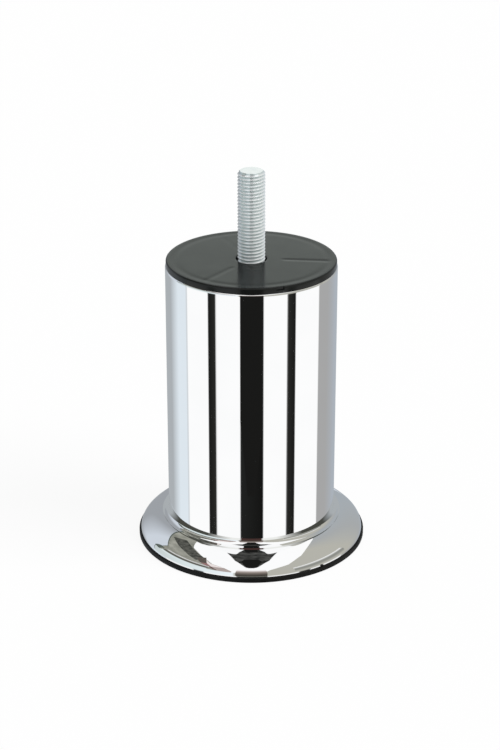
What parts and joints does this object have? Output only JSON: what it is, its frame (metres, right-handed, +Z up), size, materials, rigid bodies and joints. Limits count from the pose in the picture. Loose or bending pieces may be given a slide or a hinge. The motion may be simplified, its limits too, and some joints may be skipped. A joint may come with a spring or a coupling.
{
  "type": "furniture leg",
  "caption": "Short round chromed furniture leg with a flared foot, a black cap with a threaded stud on top and a black floor pad below.",
  "frame": {"origin": "on the floor, at the middle of the pad", "axes": "+Z up along the stud, -Y towards the moulding nick on the cap's rim, which the picture shows in front"},
  "size_m": [0.0682, 0.0682, 0.1143],
  "materials": {
    "chrome_plate": "bright chrome plating on polished steel",
    "zinc_plate": "bright zinc plating",
    "bare_steel": "plain rolled steel",
    "cap_plastic": "smooth moulded black polypropylene",
    "pad_plastic": "moulded black polyethylene"
  },
  "bodies": {
    "root": {"leg_tube": "chrome_plate", "top_cap": "cap_plastic", "stud_bolt": "zinc_plate", "stud_plate": "bare_steel", "lock_washer": "zinc_plate", "lock_nut": "zinc_plate", "base_pad": "pad_plastic"}
  },
  "joints": []
}
